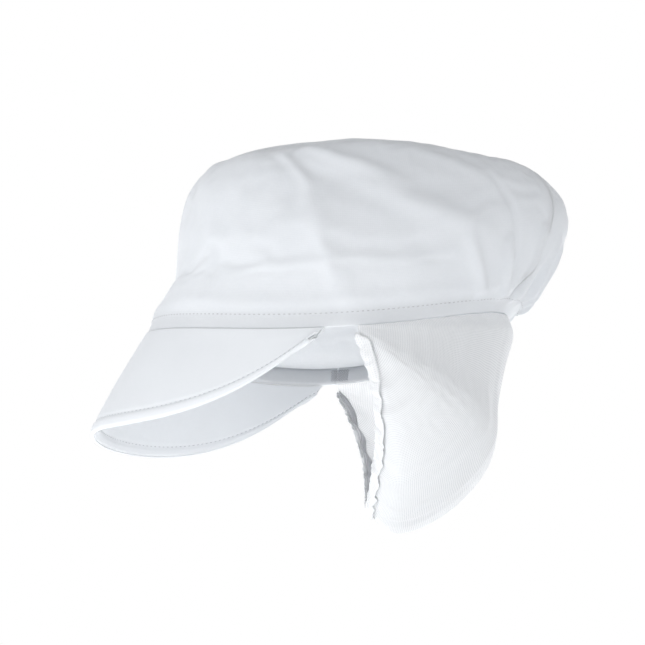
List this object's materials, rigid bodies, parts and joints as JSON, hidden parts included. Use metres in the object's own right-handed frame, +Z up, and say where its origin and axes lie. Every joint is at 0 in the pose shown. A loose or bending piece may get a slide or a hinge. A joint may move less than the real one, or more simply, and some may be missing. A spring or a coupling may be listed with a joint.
{
  "type": "peaked work cap with snood",
  "caption": "Soft white poly-cotton work cap with a tall flat-topped crown gathered at the rear, a drooping stiffened peak and an elasticated net snood behind.",
  "frame": {"origin": "centre of the head opening, level with the band's lower edge at front and rear centre", "axes": "-Y towards the peak, +Y towards the snood, +X the wearer's left, +Z up"},
  "size_m": [0.176, 0.2771, 0.2189],
  "materials": {
    "crown_cloth": "woven poly-cotton, soft matt",
    "peak_cloth": "woven poly-cotton over a stiff blade, soft matt",
    "seam_tape": "folded cotton tape, matt",
    "elastic": "braided elastic, matt, fine ribs along it",
    "thread": "spun polyester sewing thread",
    "stiffener": "calendered polyethylene sheet, satin",
    "net": "knitted polyester net, square mesh, see-through"
  },
  "bodies": {
    "cap": {"crown_top_panel": "crown_cloth", "crown_front_panel": "crown_cloth", "crown_rear_panel": "crown_cloth", "tip_seam_tape": "seam_tape", "rear_seam_tape_left": "seam_tape", "rear_seam_tape_right": "seam_tape", "band_facing": "seam_tape", "rear_casing": "seam_tape", "rear_elastic": "elastic", "rear_elastic_tacks": "thread", "snood_elastic_tacks": "thread"},
    "peak": {"peak_upper_cover": "peak_cloth", "peak_stiffener": "stiffener", "peak_lower_cover": "peak_cloth"},
    "snood": {"snood_net": "net", "snood_edge_casing": "net", "snood_elastic": "elastic"}
  },
  "joints": [
    {"name": "peak_flex", "type": "hinge", "parent": "cap", "child": "peak", "pos_m": [0, -0.103, 0], "axis": [-1, 0, 0], "range_deg": [0, 20], "stiffness_Nm_per_rad": 0.15, "springref_deg": -8.59},
    {"name": "snood_swing", "type": "hinge", "parent": "cap", "child": "snood", "pos_m": [0, 0.103, 0], "axis": [1, 0, 0], "range_deg": [0, 20], "stiffness_Nm_per_rad": 0.1, "springref_deg": -5.73}
  ]
}
